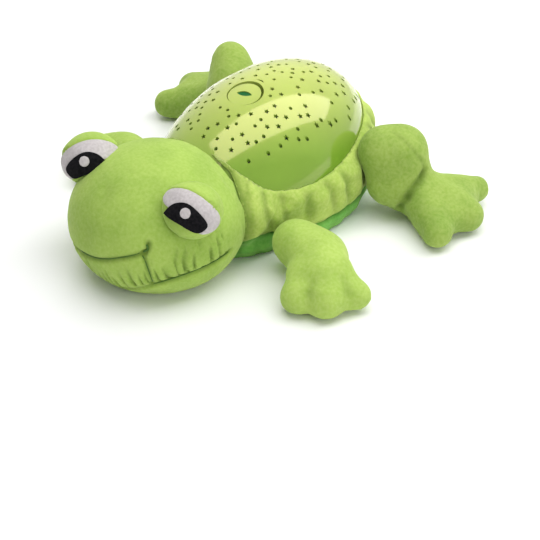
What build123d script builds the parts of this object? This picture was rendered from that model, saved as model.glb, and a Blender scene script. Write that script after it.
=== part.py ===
from build123d import *
import math
import os
import random

# Plush frog star night light: a stuffed frog that lies on its belly and carries a battery-powered
# star projector in its back. Millimetres, +Z up, the floor at Z = 0, the frog's nose towards -Y and
# its left side towards +X. The origin is under the middle of the whole toy.

# ---------------------------------------------------------------- driving dimensions
# Projector unit: a spheroid whose long axis is tipped, so that the dome leans towards the head.
unit_y = 22.6               # middle of the long axis, behind the toy's origin
unit_z = 38.6               # height of that point above the floor
unit_tilt = 12.0            # degrees that the rear of the long axis is raised
unit_radius = 66.6          # round section across the long axis
unit_half_length = 101.0
unit_nose = 72.0            # flat front wall of the unit, hidden in the neck
rim_rise = 8.0              # the joint of dome and tub lies this far above the long axis
wall = 2.2                  # moulded wall of dome and tub
fit_gap = 0.2               # clearance between moulded parts that plug together
tongue_height = 3.0         # the tub's tongue stands this far inside the dome
soft_gap = 0.4              # clearance between a soft part and what it wraps

# Star holes of the dome
star_count = 150
star_radius = 2.1
star_waist = 1.15
pinhole_radius = 1.3
star_spacing = 6.1
star_field_half_width = 53.0
star_field_half_length = 73.0
star_field_shift = 18.0     # the field reaches further down at the rear
star_field_power = 3.0      # squareness of the field's outline
moon_width = 7.6
moon_rise = 1.9
moon_hollow = 0.5
moon_gap = 2.4              # from the button's pocket to the moon

# Crown button
button_y = -2.0             # along the long axis, from the unit's middle
button_radius = 12.6
button_wall = 1.6
button_travel = 1.5
button_recess = 0.6
button_skirt = 9.0
pocket_radius = 14.0
pocket_shift = 1.0          # the pocket is set back, which leaves a finger gap behind the button
leaf_length = 12.5
leaf_width = 5.4
leaf_turn = 16.0
stem_radius = 2.6
stem_length = 11.0
window_thickness = 0.6
spring_radius = 6.0
spring_wire = 0.7
spring_turns = 6.5

# Inside of the projector
deck_drop = 6.0             # top of the light deck below the rim
deck_thickness = 2.0
deck_margin = 1.2           # gap from the deck's edge to the tub wall
screw_post_x = 38.0
screw_post_front = -36.0
screw_post_rear = 34.0
screw_post_radius = 5.4
screw_radius = 1.5
screw_head_radius = 3.1
screw_head_height = 2.0
screw_grip = 8.0            # tub material under the deck that the screw clamps
screw_reach = 10.0          # screw length inside the dome's boss
board_thickness = 1.6
board_length = 40.0
board_width = 56.0
board_y = 32.0
board_standoff = 3.0
post_radius = 8.0
post_bore = 5.0
switch_size = 6.0
switch_height = 3.5
plunger_radius = 1.7
plunger_height = 1.4
led_radius = 2.5
led_height = 8.6
led_ring = 9.0

# Base and batteries
base_z = 3.0                # underside of the tub above the floor
base_thickness = 2.4
foot_radius = 5.5
foot_x = 42.0
foot_front = -26.0
foot_rear = 50.0
cell_radius = 5.2
cell_length = 44.5
cell_pitch = 11.0
cell_count = 3
contact_space = 2.8
contact_thickness = 0.4
battery_y = 24.0
door_thickness = 2.0
door_ledge = 2.0
door_tab = 9.0
door_gap = 0.3
door_screw_radius = 1.3
door_screw_head = 2.4
lead_radius = 0.7
lead_spacing = 3.0
lead_y = 20.0
lead_hole = 4.0

# Soft toy
floor_gap = 0.5             # soft parts stop just above the floor
body_radius = 75.0
body_drop = 12.0            # the plush body's axis below the unit's
body_half_length = 95.5
body_shift = 10.5           # the plush body's middle behind the unit's
wrap_thickness = 3.5        # least thickness of the plush round the projector
# Edge of the plush opening, seen from the side: places along the unit and heights above the rim
lip_edge = ((-90.0, 39.0), (-42.0, 16.5), (-7.0, 4.5), (26.0, 1.8), (60.0, 1.6), (130.0, 2.0))
belly_seam = 15.0           # height of the seam between body and belly panel
belly_front = -41.0
collar_y = -42.0            # neck roll in front of the dome
collar_z = 40.0
collar_radius = 38.0
collar_half_width = 64.0
head_y = -86.5
head_z = 40.0
head_radius = 65.5
head_half_height = 53.0
eye_x = 51.0
eye_y = -102.0
eye_z = 74.0
eye_radius = 22.0
eye_half_height = 20.0
felt_thickness = 0.9
eye_look = (0.44, -0.70, 0.52)      # the way the left eye looks
front_root = (80.0, -32.0, 23.0)
front_root_radius = 18.0
front_calf = (108.0, -33.0, 20.5, 22.5)
front_wrist = (121.0, -44.0, 18.0, 21.0)
front_palm = ((121.0, -58.0, 14.0, 15.0), (134.0, -50.0, 14.0, 15.5), (140.0, -37.0, 13.0, 13.0))
front_toes = ((118.0, -66.0, 12.5, 13.5), (136.0, -56.5, 13.0, 14.5), (147.0, -36.0, 12.0, 11.5))
tucked_reach = 0.85         # the right front leg is tucked in: shorter reach, turned back
tucked_bulk = 0.9
tucked_turn = 20.0
hip = (79.0, 80.0, 50.0)
hip_radius = 21.5
knee = (88.0, 87.5, 51.5, 21.0)
right_knee = (94.0, 91.0, 64.0, 15.5)       # the right knee is drawn up
shank_end = (92.0, 89.0, 22.0, 20.0)
ankle = (104.0, 91.0, 19.0)
ankle_radius = 19.0
ankle_lift = 20.0           # degrees the foot can be lifted
rear_palm = ((134.0, 71.0, 13.0, 13.0), (136.0, 97.0, 14.0, 15.0), (123.0, 124.0, 14.0, 12.5))
rear_toes = ((141.0, 66.0, 12.5, 12.5), (144.0, 99.0, 13.0, 13.5), (127.0, 133.0, 13.0, 11.0))
right_leg_spread = (5.0, 4.0)       # the right rear leg lies this much further out and back

# ---------------------------------------------------------------- frames
tilt = math.radians(unit_tilt)
unit = Plane(origin=(0, unit_y, unit_z), x_dir=(1, 0, 0), z_dir=(0, -math.sin(tilt), math.cos(tilt)))
rim = unit.offset(rim_rise)
button_origin = unit.from_local_coords((0, button_y, 0))
button_frame = Plane(origin=button_origin, x_dir=(1, 0, 0), z_dir=unit.z_dir)
crown = unit_radius * math.sqrt(1 - (button_y / unit_half_length) ** 2)
cap_top = crown - button_recess
cap_under = cap_top - wall

os.makedirs("parts", exist_ok=True)


def keep(piece, name):
    """Name a finished piece and write it."""
    piece.part.label = name
    export_step(piece.part, f"parts/{name}.step")


# ---------------------------------------------------------------- shared solids
def spheroid(frame, radius, half_length):
    """Round solid whose long axis is a frame's Y axis."""
    profile = Plane(origin=frame.origin, x_dir=-frame.z_dir, z_dir=frame.x_dir)
    with BuildPart() as solid:
        with BuildSketch(profile):
            with BuildLine():
                EllipticalCenterArc((0, 0), radius, half_length, start_angle=270, arc_size=180)
                Line((0, half_length), (0, -half_length))
            make_face()
        revolve(axis=Axis(frame.origin, frame.y_dir))
    return solid.part


def bun(x, y, z, radius, half_height):
    """Flattened ball with an upright axis."""
    with BuildPart() as solid:
        with BuildSketch(Plane(origin=(x, y, z), x_dir=(1, 0, 0), z_dir=(0, -1, 0))):
            Ellipse(radius, half_height)
            with Locations((-radius, 0)):
                Rectangle(2 * radius, 2 * half_height, mode=Mode.SUBTRACT)
        revolve(axis=Axis((x, y, z), (0, 0, 1)))
    return solid.part


def capsule(start, start_radius, end, end_radius):
    """Two balls joined by the cone that touches both."""
    start_point = Vector(*start)
    way = Vector(*end) - start_point
    reach = way.length
    slope = math.asin((start_radius - end_radius) / reach)
    frame = Plane(origin=start_point, x_dir=way.cross(Vector(0, 0, 1)), z_dir=way)
    profile = Plane(origin=start_point, x_dir=frame.x_dir, z_dir=frame.y_dir)
    lean = -1 if profile.y_dir.dot(way) < 0 else 1
    side = Vector(math.cos(slope), lean * math.sin(slope))
    near = (start_radius * side.X, start_radius * side.Y)
    far = (end_radius * side.X, lean * reach + end_radius * side.Y)
    low = Vector(math.cos((slope - math.pi / 2) / 2), lean * math.sin((slope - math.pi / 2) / 2))
    high = Vector(math.cos((slope + math.pi / 2) / 2), lean * math.sin((slope + math.pi / 2) / 2))
    with BuildPart() as solid:
        with BuildSketch(profile):
            with BuildLine():
                ThreePointArc((0, -lean * start_radius), (start_radius * low.X, start_radius * low.Y), near)
                Line(near, far)
                ThreePointArc(far, (end_radius * high.X, lean * reach + end_radius * high.Y),
                              (0, lean * (reach + end_radius)))
                Line((0, lean * (reach + end_radius)), (0, -lean * start_radius))
            make_face()
        revolve(axis=Axis(start_point, way))
    return solid.part


def ball(x, y, z, radius):
    """Ball at a place."""
    return Pos(x, y, z) * Sphere(radius, mode=Mode.PRIVATE)


floor_plane = Plane.XY.offset(floor_gap)
nose_outer = Plane(origin=unit.from_local_coords((0, -unit_nose, 0)), x_dir=(1, 0, 0), z_dir=unit.y_dir)
nose_inner = nose_outer.offset(wall)
nose_clear = nose_outer.offset(-soft_gap)
base_plane = Plane.XY.offset(base_z)
base_floor = Plane.XY.offset(base_z + base_thickness)

# Outside, inside and clearance shapes that dome, tub and plush share.
with BuildPart() as unit_outside:
    add(spheroid(unit, unit_radius, unit_half_length))
    split(bisect_by=nose_outer, keep=Keep.TOP)
    split(bisect_by=base_plane, keep=Keep.TOP)

with BuildPart() as unit_inside:
    add(spheroid(unit, unit_radius - wall, unit_half_length - wall))
    split(bisect_by=nose_inner, keep=Keep.TOP)
    split(bisect_by=base_floor, keep=Keep.TOP)

with BuildPart() as unit_room:
    add(spheroid(unit, unit_radius + soft_gap, unit_half_length + soft_gap))
    split(bisect_by=nose_clear, keep=Keep.TOP)

screw_posts = [
    (side * screw_post_x, y)
    for y in (screw_post_front, screw_post_rear)
    for side in (-1, 1)
]


# ---------------------------------------------------------------- dome
def star_outline(radius, waist):
    """Ten corners of a five-pointed star."""
    corners = []
    for step in range(10):
        reach = radius if step % 2 == 0 else waist
        corners.append((reach * math.cos(math.pi / 5 * step), reach * math.sin(math.pi / 5 * step)))
    return corners


def scatter_stars():
    """Places of the large stars and of the pinholes, kept clear of the button, moon and bosses."""
    chance = random.Random(23)
    taken = []
    stars = []
    pinholes = []
    for attempt in range(60 * star_count):
        x = chance.uniform(-star_field_half_width, star_field_half_width)
        y = star_field_shift + chance.uniform(-star_field_half_length, star_field_half_length)
        turn = chance.uniform(0, 72)
        across = abs(x / star_field_half_width) ** star_field_power
        along = abs((y - star_field_shift) / star_field_half_length) ** star_field_power
        clear_of_button = math.hypot(x, y - button_y) > pocket_radius + pocket_shift + 2 * star_radius
        clear_of_moon = math.hypot(x, y - moon_y) > moon_width / 2 + star_radius + 0.6
        clear_of_posts = all(
            math.hypot(x - px, y - py) > screw_post_radius + star_radius - 1 for px, py in screw_posts
        )
        clear_of_stars = all(math.hypot(x - px, y - py) > star_spacing for px, py in taken)
        if across + along > 1 or not (clear_of_button and clear_of_moon):
            continue
        if not (clear_of_posts and clear_of_stars):
            continue
        taken.append((x, y))
        kind = stars if len(taken) % 2 == 0 else pinholes
        kind.append(Location((x, y, 0), (0, 0, turn)))
        if len(taken) == star_count:
            break
    return stars, pinholes


moon_y = button_y + pocket_shift + pocket_radius + moon_gap
star_places, pinhole_places = scatter_stars()

with BuildSketch(rim) as star_holes:
    with Locations(*star_places):
        Polygon(*star_outline(star_radius, star_waist), align=None)
    with Locations(*pinhole_places):
        Circle(pinhole_radius)

with BuildSketch(rim) as moon_hole:
    with BuildLine():
        ThreePointArc((-moon_width / 2, moon_y), (0, moon_y + moon_rise), (moon_width / 2, moon_y))
        ThreePointArc((-moon_width / 2, moon_y), (0, moon_y + moon_hollow), (moon_width / 2, moon_y))
    make_face()

# Bosses under the dome: they stand on the light deck and take the housing screws.
boss_foot = rim.offset(-deck_drop)
boss_limit = spheroid(unit, unit_radius - wall / 2, unit_half_length - wall / 2)
with BuildPart() as dome_bosses:
    with BuildSketch(boss_foot):
        with Locations(*screw_posts):
            Circle(screw_post_radius - 1)
            Circle(screw_radius + 0.05, mode=Mode.SUBTRACT)
    extrude(amount=unit_radius)
    add(boss_limit, mode=Mode.INTERSECT)

with BuildPart() as dome_shell:
    add(unit_outside.part)
    add(unit_inside.part, mode=Mode.SUBTRACT)
    split(bisect_by=rim, keep=Keep.TOP)

with BuildPart() as star_dome:
    add(dome_shell.part)
    add(dome_bosses.part)
    # Sleeve that guides the button, and the pocket through the crown.
    with BuildSketch(button_frame.offset(cap_under - button_skirt)):
        with Locations((0, pocket_shift)):
            Circle(pocket_radius + button_wall)
    extrude(amount=button_skirt)
    with BuildSketch(button_frame.offset(cap_under - button_skirt)):
        with Locations((0, pocket_shift)):
            Circle(pocket_radius)
    extrude(amount=button_skirt + 3 * wall, mode=Mode.SUBTRACT)
    extrude(moon_hole.sketch, amount=unit_radius, mode=Mode.SUBTRACT)
    extrude(star_holes.sketch, amount=unit_radius, mode=Mode.SUBTRACT)
keep(star_dome, "star_dome")

# ---------------------------------------------------------------- crown button
leaf_arc_rise = leaf_width / 2
leaf_frame = Plane(button_frame.location * Location((0, 0, 0), (0, 0, leaf_turn)))


def leaf_outline(inset):
    """Pointed leaf, inset all round, as a closed pair of arcs."""
    half = leaf_length / 2 - 2 * inset
    rise = leaf_arc_rise - inset
    ThreePointArc((-half, 0), (0, rise), (half, 0))
    ThreePointArc((half, 0), (0, -rise), (-half, 0))


cap_ball = spheroid(button_frame.offset(-button_recess), crown, unit_half_length)
skirt_foot = cap_under - button_skirt - fit_gap
leaf_floor = cap_under + 0.8

with BuildPart() as crown_button:
    with BuildSketch(button_frame.offset(skirt_foot)):
        Circle(button_radius)
    extrude(amount=2 * button_skirt)
    # Flange that catches under the dome's sleeve.
    with BuildSketch(button_frame.offset(skirt_foot - 1)):
        with Locations((0, pocket_shift)):
            Circle(pocket_radius + button_wall)
    extrude(amount=1)
    with BuildSketch(button_frame.offset(skirt_foot - 1)):
        Circle(button_radius - button_wall)
    extrude(amount=button_skirt + fit_gap + 1, mode=Mode.SUBTRACT)
    add(cap_ball, mode=Mode.INTERSECT)
    with BuildSketch(button_frame.offset(cap_under - stem_length)):
        Circle(stem_radius)
    extrude(amount=stem_length + 1)
    with BuildSketch(leaf_frame.offset(leaf_floor)):
        with BuildLine():
            leaf_outline(0)
        make_face()
    extrude(amount=2 * wall, mode=Mode.SUBTRACT)
keep(crown_button, "crown_button")

with BuildPart() as button_window:
    with BuildSketch(leaf_frame.offset(leaf_floor)):
        with BuildLine():
            leaf_outline(0.1)
        make_face()
    extrude(amount=window_thickness)
keep(button_window, "button_window")

# Coil spring round the stem, between the switch board and the cap.
deck_top = rim_rise - deck_drop                 # heights along the unit's upright axis
plunger_top = cap_under - stem_length - button_travel - 0.1
switch_top = plunger_top - plunger_height
switch_foot = switch_top - switch_height
post_top = switch_foot - board_thickness

with BuildPart() as button_spring:
    spring_height = cap_under - switch_foot - spring_wire - fit_gap
    spring_foot = button_frame.offset(switch_foot + (spring_wire + fit_gap) / 2).origin
    with BuildLine():
        coil = Helix(spring_height / spring_turns, spring_height, spring_radius, center=spring_foot,
                     direction=unit.z_dir)
    with BuildSketch(Plane(coil @ 0, z_dir=coil % 0)):
        Circle(spring_wire / 2)
    sweep(path=coil)
keep(button_spring, "button_spring")

# ---------------------------------------------------------------- switch, its board and its post
with BuildPart() as push_switch:
    with BuildSketch(button_frame.offset(switch_foot)):
        Rectangle(switch_size, switch_size)
    extrude(amount=switch_height)
    with BuildSketch(button_frame.offset(switch_top)):
        Circle(plunger_radius)
    extrude(amount=plunger_height)
keep(push_switch, "push_switch")

with BuildPart() as switch_board:
    with BuildSketch(button_frame.offset(post_top)):
        Circle(post_radius)
    extrude(amount=board_thickness)
keep(switch_board, "switch_board")

with BuildPart() as button_post:
    with BuildSketch(button_frame.offset(deck_top)):
        Circle(post_radius)
        Circle(post_bore, mode=Mode.SUBTRACT)
    extrude(amount=post_top - deck_top)
    with BuildSketch(button_frame.offset(deck_top)):
        Circle(post_radius + 4)
        Circle(post_bore, mode=Mode.SUBTRACT)
    extrude(amount=deck_thickness)
keep(button_post, "button_post")

# ---------------------------------------------------------------- light deck, board and lamps
deck_frame = rim.offset(-deck_drop - deck_thickness)
deck_half_width = unit_radius - wall - deck_margin - 0.1
deck_half_length = unit_half_length - wall - deck_margin - 0.1
deck_nose = unit_nose - wall - deck_margin
with BuildPart() as light_deck:
    with BuildSketch(deck_frame):
        Ellipse(deck_half_width, deck_half_length)
        with Locations((0, -deck_nose)):
            Rectangle(2 * unit_radius, unit_half_length, align=(Align.CENTER, Align.MAX), mode=Mode.SUBTRACT)
    extrude(amount=deck_thickness)
    with BuildSketch(deck_frame):
        with Locations(*screw_posts):
            Circle(screw_radius + fit_gap)
        with Locations((0, lead_y)):
            Circle(lead_hole)
    extrude(amount=deck_thickness, mode=Mode.SUBTRACT)
    with BuildSketch(rim.offset(-deck_drop)):
        with Locations((0, board_y)):
            with GridLocations(board_width - 8, board_length - 8, 2, 2):
                Circle(2.5)
    extrude(amount=board_standoff)
keep(light_deck, "light_deck")

board_foot = rim.offset(board_standoff - deck_drop)
board_face = board_foot.offset(board_thickness)
with BuildPart() as main_board:
    with BuildSketch(board_foot):
        with Locations((0, board_y)):
            RectangleRounded(board_width, board_length, 2)
    extrude(amount=board_thickness)
    with BuildSketch(board_face):
        with Locations((-18, board_y + 10)):
            Rectangle(12, 8)
    extrude(amount=1.8)
keep(main_board, "main_board")

lamp_angles = {"lamp_red": 90, "lamp_green": 210, "lamp_blue": 330}
for name, angle in lamp_angles.items():
    lamp_x = led_ring * math.cos(math.radians(angle))
    lamp_y = board_y + led_ring * math.sin(math.radians(angle))
    with BuildPart() as lamp:
        with BuildSketch(board_face):
            with Locations((lamp_x, lamp_y)):
                Circle(led_radius + 0.4)
        extrude(amount=1)
        with BuildSketch(board_face):
            with Locations((lamp_x, lamp_y)):
                Circle(led_radius)
        extrude(amount=led_height)
        lamp_tip = lamp.edges().group_by(Axis(rim.origin, rim.z_dir))[-1]
        fillet(lamp_tip, led_radius - 0.1)
    keep(lamp, name)

# ---------------------------------------------------------------- base tub
door_length = cell_length + 2 * contact_space + 2 * door_ledge
door_width = cell_count * cell_pitch + 2 * door_ledge + 1
bay_length = cell_length + 2 * contact_space
bay_width = cell_count * cell_pitch + 1
bay_top = base_z + door_thickness + door_gap + 2 * cell_radius + 1
door_center_x = door_tab / 2
door_screw_x = door_length / 2 + door_tab / 2

with BuildPart() as tub_posts:
    with BuildSketch(rim.offset(-unit_radius)):
        with Locations(*screw_posts):
            Circle(screw_post_radius)
    extrude(amount=unit_radius - deck_drop - deck_thickness)
    add(unit_outside.part, mode=Mode.INTERSECT)

# Tongue of the tub that stands inside the dome's rim.
tongue_outer = spheroid(unit, unit_radius - wall - fit_gap, unit_half_length - wall - fit_gap)
tongue_root = spheroid(unit, unit_radius - 0.9 * wall, unit_half_length - 0.9 * wall)
tongue_inner = spheroid(unit, unit_radius - 1.7 * wall, unit_half_length - 1.7 * wall)
with BuildPart() as tongue:
    add(tongue_outer)
    split(bisect_by=rim.offset(tongue_height), keep=Keep.BOTTOM)
    split(bisect_by=rim.offset(-tongue_height), keep=Keep.TOP)

with BuildPart() as tongue_foot:
    add(tongue_root)
    split(bisect_by=rim, keep=Keep.BOTTOM)
    split(bisect_by=rim.offset(-tongue_height), keep=Keep.TOP)

with BuildPart() as tongue_ring:
    add(tongue.part)
    add(tongue_foot.part)
    add(tongue_inner, mode=Mode.SUBTRACT)
    split(bisect_by=nose_inner.offset(fit_gap), keep=Keep.TOP)

with BuildPart() as base_tub:
    add(unit_outside.part)
    add(unit_inside.part, mode=Mode.SUBTRACT)
    split(bisect_by=rim, keep=Keep.BOTTOM)
    add(tongue_ring.part)
    add(tub_posts.part)
    # Battery bay: a box on the floor, open below.
    with BuildSketch(base_plane):
        with Locations((door_center_x, battery_y)):
            Rectangle(door_length + door_tab + 2 * wall, door_width + 2 * wall)
    extrude(amount=bay_top + wall - base_z)
    with BuildSketch(base_plane):
        with Locations((0, battery_y)):
            Rectangle(bay_length, bay_width)
    extrude(amount=bay_top - base_z, mode=Mode.SUBTRACT)
    with BuildSketch(base_plane):
        with Locations((door_center_x, battery_y)):
            Rectangle(door_length + door_tab + 2 * door_gap, door_width + 2 * door_gap)
    extrude(amount=door_thickness + door_gap, mode=Mode.SUBTRACT)
    with BuildSketch(base_plane):
        with Locations((door_screw_x, battery_y)):
            Circle(door_screw_radius + 0.05)
    extrude(amount=bay_top - base_z - 1, mode=Mode.SUBTRACT)
    # Screw wells from below, then clearance holes under the deck.
    with BuildSketch(rim.offset(-unit_radius - 20)):
        with Locations(*screw_posts):
            Circle(screw_head_radius + 0.4)
    extrude(amount=unit_radius + 20 - deck_drop - deck_thickness - screw_grip, mode=Mode.SUBTRACT)
    with BuildSketch(deck_frame):
        with Locations(*screw_posts):
            Circle(screw_radius + fit_gap)
    extrude(amount=-screw_grip, mode=Mode.SUBTRACT)
keep(base_tub, "base_tub")

with BuildPart() as housing_screws:
    with BuildSketch(deck_frame.offset(-screw_grip)):
        with Locations(*screw_posts):
            Circle(screw_head_radius)
    extrude(amount=-screw_head_height)
    with BuildSketch(deck_frame.offset(-screw_grip)):
        with Locations(*screw_posts):
            Circle(screw_radius)
    extrude(amount=screw_grip + deck_thickness + screw_reach)
keep(housing_screws, "housing_screws")

with BuildPart() as rubber_feet:
    with BuildSketch(Plane.XY):
        with Locations(*[(x, y) for x in (-foot_x, foot_x) for y in (foot_front, foot_rear)]):
            Circle(foot_radius)
    extrude(amount=base_z)
    chamfer(rubber_feet.edges().group_by(Axis.Z)[0], 0.8)
keep(rubber_feet, "rubber_feet")

# ---------------------------------------------------------------- battery door, cells and contacts
with BuildPart() as battery_door:
    with BuildSketch(base_plane):
        with Locations((door_center_x, battery_y)):
            RectangleRounded(door_length + door_tab, door_width, 1.5)
    extrude(amount=door_thickness)
    with BuildSketch(base_plane):
        with Locations((door_screw_x, battery_y)):
            Circle(door_screw_radius + fit_gap)
    extrude(amount=door_thickness, mode=Mode.SUBTRACT)
    with BuildSketch(base_plane):
        with Locations((door_screw_x, battery_y)):
            Circle(door_screw_head + fit_gap)
    extrude(amount=1.2, mode=Mode.SUBTRACT)
    # Finger grooves at the far end.
    with BuildSketch(base_plane):
        with Locations((-door_length / 2 + 8, battery_y)):
            with GridLocations(3, 1, 4, 1):
                Rectangle(1.2, door_width - 14)
    extrude(amount=0.6, mode=Mode.SUBTRACT)
keep(battery_door, "battery_door")

with BuildPart() as door_screw:
    with BuildSketch(base_plane.offset(0.1)):
        with Locations((door_screw_x, battery_y)):
            Circle(door_screw_head)
    extrude(amount=1.1)
    with BuildSketch(base_plane.offset(1.2)):
        with Locations((door_screw_x, battery_y)):
            Circle(door_screw_radius)
    extrude(amount=7)
keep(door_screw, "door_screw")

cell_z = base_z + door_thickness + door_gap + cell_radius + 0.2
cell_rows = [battery_y + (row - (cell_count - 1) / 2) * cell_pitch for row in range(cell_count)]

with BuildPart() as battery_cells:
    with BuildSketch(Plane.YZ.offset(-cell_length / 2)):
        with Locations(*[(y, cell_z) for y in cell_rows]):
            Circle(cell_radius)
    extrude(amount=cell_length - 1)
    with BuildSketch(Plane.YZ.offset(cell_length / 2 - 1)):
        with Locations(*[(y, cell_z) for y in cell_rows]):
            Circle(1.9)
    extrude(amount=1)
keep(battery_cells, "battery_cells")

with BuildPart() as battery_contacts:
    for side in (-1, 1):
        with BuildSketch(Plane.YZ.offset(side * bay_length / 2)):
            with Locations(*[(y, cell_z) for y in cell_rows]):
                Rectangle(cell_pitch - 2.4, 8)
        extrude(amount=-side * contact_thickness)
        with BuildSketch(Plane.YZ.offset(side * (bay_length / 2 - contact_thickness))):
            with Locations(*[(y, cell_z) for y in cell_rows]):
                Circle(3)
        extrude(amount=-side * (contact_space - contact_thickness), taper=18)
keep(battery_contacts, "battery_contacts")

lead_drop = (unit_z + lead_y * math.sin(tilt) - bay_top - wall - 1.5) / math.cos(tilt)
with BuildPart() as battery_leads:
    with BuildSketch(unit.offset(-lead_drop)):
        with Locations((-lead_spacing / 2, lead_y), (lead_spacing / 2, lead_y)):
            Circle(lead_radius)
    extrude(amount=lead_drop + rim_rise - deck_drop + board_standoff)
keep(battery_leads, "battery_leads")

# ---------------------------------------------------------------- soft body
def left_and_right(shape):
    """A shape and its mirror image."""
    return [shape, mirror(shape, about=Plane.YZ)]


def spread(place, side):
    """A place or ball of the rear leg on one side, as if it were the left side."""
    if side == "left":
        return place
    return (place[0] + right_leg_spread[0], place[1] + right_leg_spread[1], *place[2:])


def tuck(place, side):
    """A ball of the front leg on one side, as if it were the left side."""
    if side == "left":
        return place
    reach = tucked_reach * math.hypot(place[0] - front_root[0], place[1] - front_root[1])
    way = math.atan2(place[1] - front_root[1], place[0] - front_root[0]) + math.radians(tucked_turn)
    x = front_root[0] + reach * math.cos(way)
    y = front_root[1] + reach * math.sin(way)
    return (x, y, tucked_bulk * place[2], tucked_bulk * place[3])


def limbs(*pairs):
    """Capsules between pairs of balls (x, y, z, radius), each a hair thinner than the one before it."""
    return [
        capsule(first[:3], first[3] - 0.05 - 0.09 * step, second[:3], second[3] - 0.06 * step)
        for step, (first, second) in enumerate(pairs)
    ]


# The plush opening follows the rim at the rear and climbs towards the neck in front.
side_view = Plane(origin=rim.origin - Vector(2 * body_radius, 0, 0), x_dir=rim.y_dir, z_dir=(1, 0, 0))
sky = 3 * body_radius
with BuildPart() as opening:
    with BuildSketch(side_view):
        with BuildLine():
            Spline(*lip_edge)
            Polyline(lip_edge[-1], (lip_edge[-1][0], sky), (lip_edge[0][0], sky), lip_edge[0])
        make_face()
    extrude(amount=4 * body_radius)

belly_plane = Plane.XY.offset(belly_seam)
belly_front_plane = Plane(origin=(0, belly_front, 0), x_dir=(1, 0, 0), z_dir=(0, 1, 0))
body_middle = unit.from_local_coords((0, body_shift, -body_drop))
body_frame = Plane(origin=body_middle, x_dir=(1, 0, 0), z_dir=unit.z_dir)
body_ball = spheroid(body_frame, body_radius, body_half_length)
collar_frame = Plane(origin=(0, collar_y, collar_z), x_dir=(0, 0, 1), z_dir=(0, 1, 0))
collar_ball = spheroid(collar_frame, collar_radius, collar_half_width)
head_ball = bun(0, head_y, head_z, head_radius, head_half_height)
head_room = bun(0, head_y, head_z, head_radius + 0.1, head_half_height + 0.1)
limb_rooms = left_and_right(ball(*front_root, front_root_radius + soft_gap))
limb_rooms += left_and_right(ball(*hip, hip_radius + soft_gap))
limb_rooms += left_and_right(ball(*knee[:3], knee[3] + soft_gap))

wrap_ball = spheroid(unit, unit_radius + wrap_thickness, unit_half_length + wrap_thickness)

with BuildPart() as plush_torso:
    add(body_ball)
    add(wrap_ball)
    add(opening.part, mode=Mode.SUBTRACT)
    split(bisect_by=nose_outer.offset(-wrap_thickness), keep=Keep.TOP)
    split(bisect_by=floor_plane, keep=Keep.TOP)
    add(unit_room.part, mode=Mode.SUBTRACT)

with BuildPart() as plush_collar:
    add(collar_ball)
    split(bisect_by=floor_plane, keep=Keep.TOP)
    add(unit_room.part, mode=Mode.SUBTRACT)

with BuildPart() as plush_wrap:
    add(plush_torso.part)
    add(plush_collar.part)
    add(head_room, mode=Mode.SUBTRACT)
    for room in limb_rooms:
        add(room, mode=Mode.SUBTRACT)

with BuildPart() as plush_body:
    add(plush_wrap.part)
    split(bisect_by=belly_plane, keep=Keep.TOP)
keep(plush_body, "plush_body")

with BuildPart() as belly_panel:
    add(plush_wrap.part)
    split(bisect_by=belly_plane, keep=Keep.BOTTOM)
    split(bisect_by=belly_front_plane, keep=Keep.TOP)
keep(belly_panel, "belly_panel")

with BuildPart() as plush_head:
    add(head_ball)
    split(bisect_by=floor_plane, keep=Keep.TOP)
    add(unit_room.part, mode=Mode.SUBTRACT)
keep(plush_head, "plush_head")

# ---------------------------------------------------------------- eyes
look = Vector(*eye_look).normalized()
eye_center = Vector(eye_x, eye_y, eye_z)
eye_frame = Plane(origin=eye_center, x_dir=Vector(0, 0, 1).cross(look), z_dir=look)
eye_layers = [
    bun(eye_x, eye_y, eye_z, eye_radius + level * felt_thickness, eye_half_height + level * felt_thickness)
    for level in range(4)
]
eye_outlines = {
    "eye_white": ((0, 0), 19.0, 12.0),
    "eye_pupil": ((0, -1), 13.0, 8.5),
    "eye_glint": ((0, 1.5), 3.0, 3.0),
}
soft_pairs = {}

with BuildPart() as eye_mound:
    add(eye_layers[0])
    add(head_room, mode=Mode.SUBTRACT)
soft_pairs["eye_mound"] = left_and_right(eye_mound.part)

# Felt ovals, each lying on the one before it.
for level, (name, (shift, half_width, half_height)) in enumerate(eye_outlines.items(), start=1):
    with BuildPart() as felt:
        with BuildSketch(eye_frame):
            with Locations(shift):
                Ellipse(half_width, half_height)
        extrude(amount=2 * eye_radius)
        add(eye_layers[level], mode=Mode.INTERSECT)
        add(eye_layers[level - 1], mode=Mode.SUBTRACT)
        add(head_room, mode=Mode.SUBTRACT)
    soft_pairs[name] = left_and_right(felt.part)

# ---------------------------------------------------------------- front legs
fronts = {}
for side in ("left", "right"):
    root_ball = (*front_root, front_root_radius)
    calf = tuck(front_calf, side)
    wrist = tuck(front_wrist, side)
    palm = [tuck(place, side) for place in front_palm]
    leg_solids = limbs((root_ball, calf), (calf, wrist), (wrist, palm[0]), (wrist, palm[2]),
                       (wrist, palm[1]), (palm[0], palm[1]), (palm[1], palm[2]))
    leg_solids += [ball(*tuck(toe, side)) for toe in front_toes]
    with BuildPart() as front_leg:
        for solid in leg_solids:
            add(solid)
        split(bisect_by=floor_plane, keep=Keep.TOP)
    fronts[side] = front_leg.part
soft_pairs["front_leg"] = [fronts["left"], mirror(fronts["right"], about=Plane.YZ)]

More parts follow.
